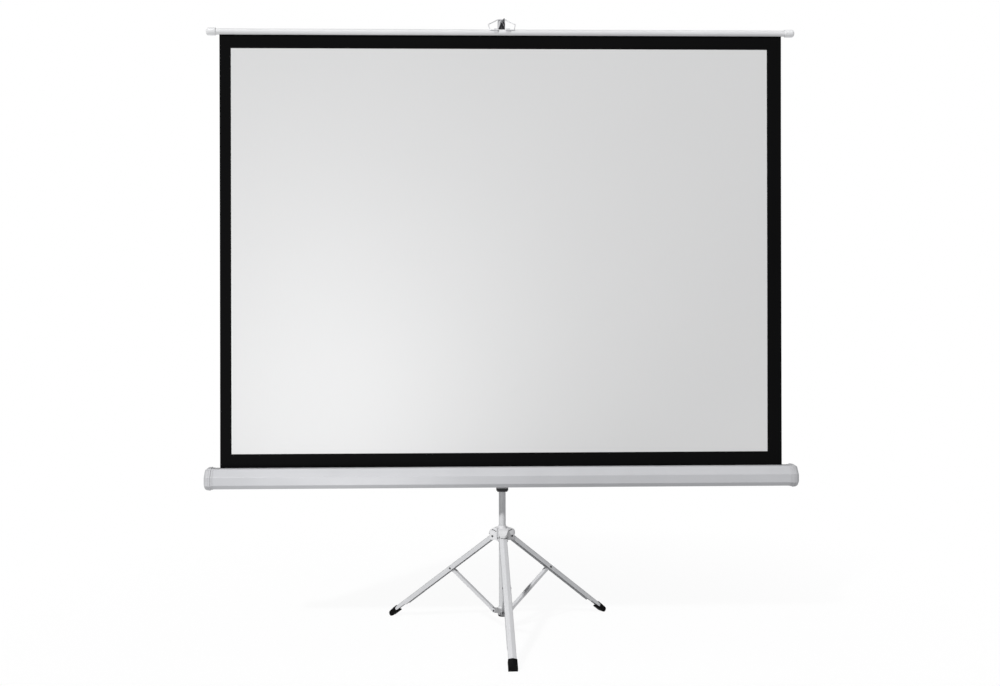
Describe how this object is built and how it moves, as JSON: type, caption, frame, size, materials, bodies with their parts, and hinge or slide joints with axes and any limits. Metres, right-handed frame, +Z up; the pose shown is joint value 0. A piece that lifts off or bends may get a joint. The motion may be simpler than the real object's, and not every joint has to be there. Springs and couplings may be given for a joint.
{
  "type": "tripod projector screen",
  "caption": "Portable projector screen drawn up from a roller case on a folding tripod, held stretched by a telescoping rod whose hook carries the wire bail of the top bar.",
  "frame": {"origin": "on the floor, in the middle of the bounding box of the object as it stands ready for use; the mast axis is 92.04 mm behind it", "axes": "+Z up, +X to the right as the audience sees it, the picture side of the screen faces -Y"},
  "size_m": [1.872, 0.6491, 1.9636],
  "materials": {
    "white_paint": "satin",
    "white_plastic": "satin",
    "dark_plastic": "satin",
    "black_rubber": "matte",
    "bright_steel": "satin",
    "dark_steel": "satin",
    "rod_metal": "satin",
    "screen_cloth": "matte"
  },
  "bodies": {
    "base": {"lower_collar": "white_plastic", "collar_pin_front": "dark_steel", "collar_pin_right": "dark_steel", "collar_pin_left": "dark_steel"},
    "brace_f": {"brace_front": "white_paint"},
    "brace_r": {"brace_right": "white_paint"},
    "brace_l": {"brace_left": "white_paint"},
    "leg_f": {"leg_front": "white_paint", "foot_front": "black_rubber", "leg_pin_front": "dark_steel"},
    "leg_r": {"leg_right": "white_paint", "foot_right": "black_rubber", "leg_pin_right": "dark_steel"},
    "leg_l": {"leg_left": "white_paint", "foot_left": "black_rubber", "leg_pin_left": "dark_steel"},
    "hub_slider": {"hub": "white_plastic", "hub_pin_front": "dark_steel", "hub_pin_right": "dark_steel", "hub_pin_left": "dark_steel"},
    "mast": {"mast_tube": "white_paint", "mast_bottom_plug": "dark_plastic", "mast_stop_ring": "white_plastic", "mast_top_collar": "dark_plastic", "extension_lock_pin": "bright_steel"},
    "lock_lever": {"extension_lock_lever": "dark_plastic"},
    "extension": {"extension_tube": "rod_metal", "extension_bush": "dark_plastic", "hook_head": "white_plastic", "hook": "dark_steel", "hook_screw": "bright_steel", "top_bar": "white_paint", "top_bar_cap_left": "white_plastic", "top_bar_cap_right": "white_plastic", "fabric_spline": "white_plastic", "screen_fabric_upper": "screen_cloth", "bail_clip_left": "white_plastic", "bail_clip_right": "white_plastic"},
    "bail_wire": {"bail": "bright_steel"},
    "case": {"carriage": "dark_plastic", "trigger_pin": "bright_steel", "pivot_bolt": "bright_steel", "pivot_washer": "white_plastic", "case_bracket": "bright_steel", "bracket_screw_left": "bright_steel", "bracket_screw_right": "bright_steel", "case_shell": "white_paint", "case_end_cap_left": "white_plastic", "case_end_cap_right": "white_plastic", "spring_shaft": "bright_steel", "idle_pin": "bright_steel", "screen_fabric_lower": "screen_cloth", "carry_handle": "dark_plastic"},
    "trigger": {"carriage_trigger": "dark_plastic"},
    "roller": {"roller_tube": "bright_steel", "wound_fabric": "screen_cloth", "roller_plug_left": "dark_plastic", "roller_plug_right": "dark_plastic", "roller_spring": "dark_steel"}
  },
  "joints": [
    {"name": "tripod_fold", "type": "hinge", "parent": "base", "child": "brace_f", "pos_m": [0.00098, 0.06406, 0.061], "axis": [-0.9994, -0.0349, 0], "range_deg": [0, 24]},
    {"name": "leg_front_fold", "type": "hinge", "parent": "brace_f", "child": "leg_f", "pos_m": [0.00646, -0.09283, 0.182], "axis": [0.9994, 0.0349, 0], "range_deg": [0, 48]},
    {"name": "hub_level", "type": "hinge", "parent": "leg_f", "child": "hub_slider", "pos_m": [0.00098, 0.06406, 0.303], "axis": [-0.9994, -0.0349, 0], "range_deg": [0, 24]},
    {"name": "brace_right_fold", "type": "hinge", "parent": "base", "child": "brace_r", "pos_m": [0.02375, 0.10688, 0.061], "axis": [0.5299, -0.848, 0], "range_deg": [0, 24]},
    {"name": "brace_left_fold", "type": "hinge", "parent": "base", "child": "brace_l", "pos_m": [-0.02472, 0.10519, 0.061], "axis": [0.4695, 0.8829, 0], "range_deg": [0, 24]},
    {"name": "leg_right_fold", "type": "hinge", "parent": "hub_slider", "child": "leg_r", "pos_m": [0.02375, 0.10688, 0.303], "axis": [-0.5299, 0.848, 0], "range_deg": [0, 24]},
    {"name": "leg_left_fold", "type": "hinge", "parent": "hub_slider", "child": "leg_l", "pos_m": [-0.02472, 0.10519, 0.303], "axis": [-0.4695, -0.8829, 0], "range_deg": [0, 24]},
    {"name": "mast_swivel", "type": "hinge", "parent": "base", "child": "mast", "pos_m": [0, 0.09204, 0.06], "axis": [0, 0, 1], "continuous": true},
    {"name": "carriage_slide", "type": "slide", "parent": "mast", "child": "case", "axis": [0, 0, 1], "range_m": [0, 0.43], "deforming": ["screen_fabric_upper"]},
    {"name": "extension_slide", "type": "slide", "parent": "mast", "child": "extension", "axis": [0, 0, 1], "range_m": [-0.81, 0], "deforming": ["screen_fabric_lower"]},
    {"name": "roller_spin", "type": "hinge", "parent": "case", "child": "roller", "pos_m": [0, 0.02004, 0.501], "axis": [1, 0, 0], "range_deg": [-2160, 0]},
    {"name": "carriage_release", "type": "hinge", "parent": "case", "child": "trigger", "pos_m": [0, 0.11604, 0.527], "axis": [1, 0, 0], "range_deg": [0, 12], "stiffness_Nm_per_rad": 0.25, "springref_deg": -5.73},
    {"name": "extension_lock", "type": "hinge", "parent": "mast", "child": "lock_lever", "pos_m": [0, 0.11704, 1.096], "axis": [1, 0, 0], "range_deg": [0, 80]},
    {"name": "bail_swing", "type": "hinge", "parent": "extension", "child": "bail_wire", "pos_m": [0, 0.03184, 1.9183], "axis": [1, 0, 0], "range_deg": [0, 210]}
  ],
  "couplings": [
    {"joint": "leg_front_fold", "follows": "tripod_fold", "ratio": 2},
    {"joint": "hub_level", "follows": "tripod_fold", "ratio": 1},
    {"joint": "brace_right_fold", "follows": "tripod_fold", "ratio": 1},
    {"joint": "brace_left_fold", "follows": "tripod_fold", "ratio": 1},
    {"joint": "leg_right_fold", "follows": "tripod_fold", "ratio": 1},
    {"joint": "leg_left_fold", "follows": "tripod_fold", "ratio": 1},
    {"joint": "roller_spin", "follows": "extension_slide", "rad_per_m": 46.5}
  ]
}
